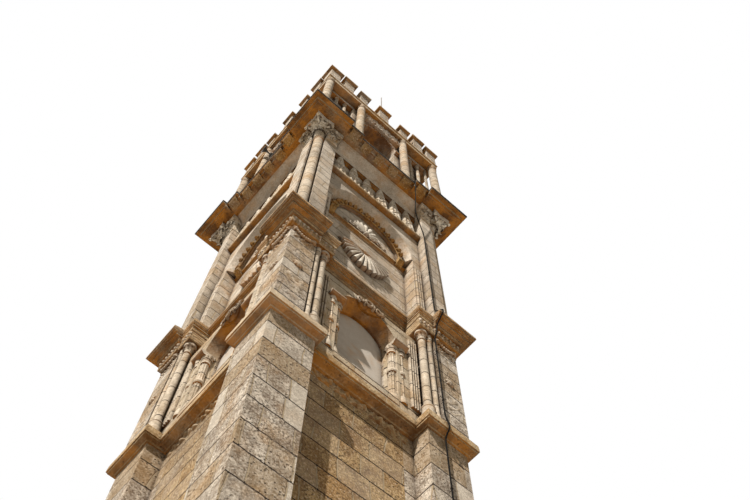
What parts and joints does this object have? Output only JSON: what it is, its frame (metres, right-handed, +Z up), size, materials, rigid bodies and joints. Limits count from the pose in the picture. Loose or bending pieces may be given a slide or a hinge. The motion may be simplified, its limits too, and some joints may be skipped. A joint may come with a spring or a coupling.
{
  "type": "bell tower",
  "caption": "Tall square stone bell tower with blind arched windows, carved recesses, a deep cornice, an open arched belfry and a parapet of capped merlons.",
  "frame": {"origin": "middle of the tower's foot, on the ground", "axes": "+Z up, -Y out of the front, +X to the right of the front"},
  "size_m": [4.2, 4.2, 26.2],
  "materials": {
    "wall_stone": "matte",
    "carved_stone": "matte",
    "moulding_stone": "matte",
    "column_stone": "matte",
    "roof_stone": "matte",
    "plaster_infill": "matte",
    "bronze_rod": "satin",
    "conductor_wire": "matte",
    "clip_metal": "matte",
    "horn_paint": "matte"
  },
  "bodies": {
    "root": {"arcade_piers": "wall_stone", "arcade_spandrels": "wall_stone", "arcade_wall_back": "wall_stone", "arcade_wall_front": "wall_stone", "arcade_wall_left": "wall_stone", "arcade_wall_right": "wall_stone", "base_plinth": "wall_stone", "belfry_balusters": "carved_stone", "belfry_columns": "column_stone", "belfry_corner_blocks": "wall_stone", "belfry_corner_columns": "column_stone", "belfry_floor": "roof_stone", "belfry_wall_back": "wall_stone", "belfry_wall_front": "wall_stone", "belfry_wall_left": "wall_stone", "belfry_wall_right": "wall_stone", "conductor_clips": "clip_metal", "corner_capitals": "carved_stone", "corner_columns": "column_stone", "frieze_ledges": "carved_stone", "frieze_pendants": "carved_stone", "horn_loudspeaker": "horn_paint", "impost_bands": "carved_stone", "lightning_conductor": "conductor_wire", "lightning_rod": "bronze_rod", "lower_string_course": "moulding_stone", "main_cornice": "moulding_stone", "merlon_caps": "moulding_stone", "merlons": "wall_stone", "middle_string_course": "moulding_stone", "parapet_string_course": "moulding_stone", "recess_hoods": "carved_stone", "roof_slab": "roof_stone", "shaft_piers": "wall_stone", "shaft_wall_back": "wall_stone", "shaft_wall_front": "wall_stone", "shaft_wall_left": "wall_stone", "shaft_wall_right": "wall_stone", "shell_reliefs": "carved_stone", "window_colonnettes": "carved_stone", "window_frames": "wall_stone", "window_infills": "plaster_infill", "window_jamb_shafts": "carved_stone", "window_piers": "wall_stone", "window_wall_back": "wall_stone", "window_wall_front": "wall_stone", "window_wall_left": "wall_stone", "window_wall_right": "wall_stone"}
  },
  "joints": []
}
